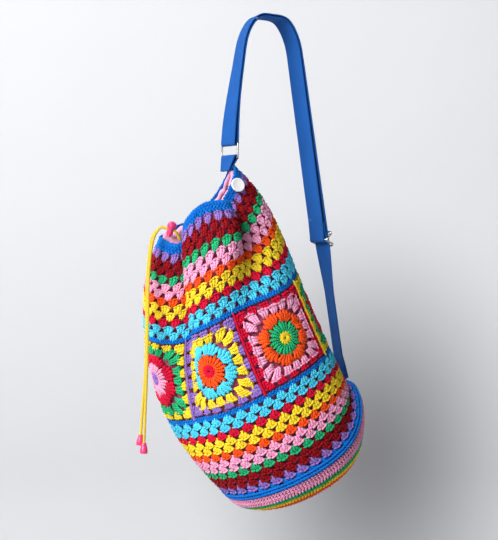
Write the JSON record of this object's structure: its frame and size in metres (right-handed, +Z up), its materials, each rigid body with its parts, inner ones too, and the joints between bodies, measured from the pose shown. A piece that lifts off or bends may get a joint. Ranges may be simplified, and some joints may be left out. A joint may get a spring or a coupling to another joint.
{
  "type": "crochet backpack",
  "caption": "Crocheted bucket backpack with granny squares and striped bands, gathered by a drawstring with a cord lock and hung by a webbing strap with a ring and slider.",
  "frame": {"origin": "the hanging point, under the strap's highest turn", "axes": "+Z up, -Y towards the viewer, +X to the viewer's right"},
  "size_m": [0.2803, 0.2329, 0.617],
  "materials": {
    "blue": "crocheted cotton yarn",
    "lilac": "crocheted cotton yarn",
    "dark_red": "crocheted cotton yarn",
    "green": "crocheted cotton yarn",
    "pink": "crocheted cotton yarn",
    "orange": "crocheted cotton yarn",
    "yellow": "crocheted cotton yarn",
    "crimson": "crocheted cotton yarn",
    "turquoise": "crocheted cotton yarn",
    "lining_pink": "soft gathered lining cloth",
    "webbing_blue": "woven webbing",
    "cord_yellow": "braided cord",
    "hot_pink": "glossy moulded plastic",
    "nickel": "polished nickel wire",
    "white": "glossy plastic"
  },
  "bodies": {
    "bag": {"lower_lilac": "lilac", "lower_dark_red": "dark_red", "lower_green": "green", "lower_pink": "pink", "lower_orange": "orange", "lower_yellow": "yellow", "lower_crimson": "crimson", "lower_turquoise": "turquoise", "upper_lilac": "lilac", "upper_dark_red": "dark_red", "upper_green": "green", "upper_pink": "pink", "upper_orange": "orange", "upper_yellow": "yellow", "upper_crimson": "crimson", "upper_turquoise": "turquoise", "lower_line": "blue", "upper_line": "blue", "top_border": "blue", "base_rim": "blue", "base_centre": "turquoise", "base_pink": "pink", "base_green": "green", "base_yellow": "yellow", "base_orange": "orange", "square_1_disc": "green", "square_1_petals": "orange", "square_1_frame": "pink", "square_2_disc": "orange", "square_2_petals": "turquoise", "square_2_frame": "yellow", "square_3_disc": "pink", "square_3_petals": "crimson", "square_3_frame": "green", "square_4_disc": "green", "square_4_petals": "orange", "square_4_frame": "pink", "square_5_disc": "orange", "square_5_petals": "turquoise", "square_5_frame": "yellow", "square_6_disc": "pink", "square_6_petals": "crimson", "square_6_frame": "green", "lining_base": "lining_pink", "lining_wall": "lining_pink", "lining_hem": "lining_pink", "strap_webbing": "webbing_blue", "strap_slack_layer": "webbing_blue", "strap_tab": "webbing_blue", "cord_strand_front": "cord_yellow", "cord_strand_back": "cord_yellow", "cord_end_front": "hot_pink", "cord_end_back": "hot_pink", "button": "white"},
    "ring": {"rectangular_ring": "nickel"},
    "slider": {"slider_frame": "nickel", "strap_end_fold": "webbing_blue"},
    "lock": {"cord_lock_shell": "hot_pink", "cord_lock_spring": "nickel"},
    "plunger": {"cord_lock_plunger": "hot_pink"}
  },
  "joints": [
    {"name": "ring_swing", "type": "hinge", "parent": "bag", "child": "ring", "pos_m": [-0.04727, -0.0331, -0.1577], "axis": [0.5736, -0.8192, 0], "range_deg": [-2, 2]},
    {"name": "slider_slide", "type": "slide", "parent": "bag", "child": "slider", "axis": [-0.1428, -0.1, 0.9847], "range_m": [0, 0.02], "deforming": ["strap_slack_layer"]},
    {"name": "lock_slide", "type": "slide", "parent": "bag", "child": "lock", "axis": [-0.9536, 0, 0.3011], "range_m": [0, 0.004]},
    {"name": "plunger_press", "type": "slide", "parent": "lock", "child": "plunger", "axis": [0.3011, 0, 0.9536], "range_m": [0, 0.0025], "stiffness_N_per_m": 400, "springref_m": -0.002, "deforming": ["cord_lock_spring"]}
  ]
}
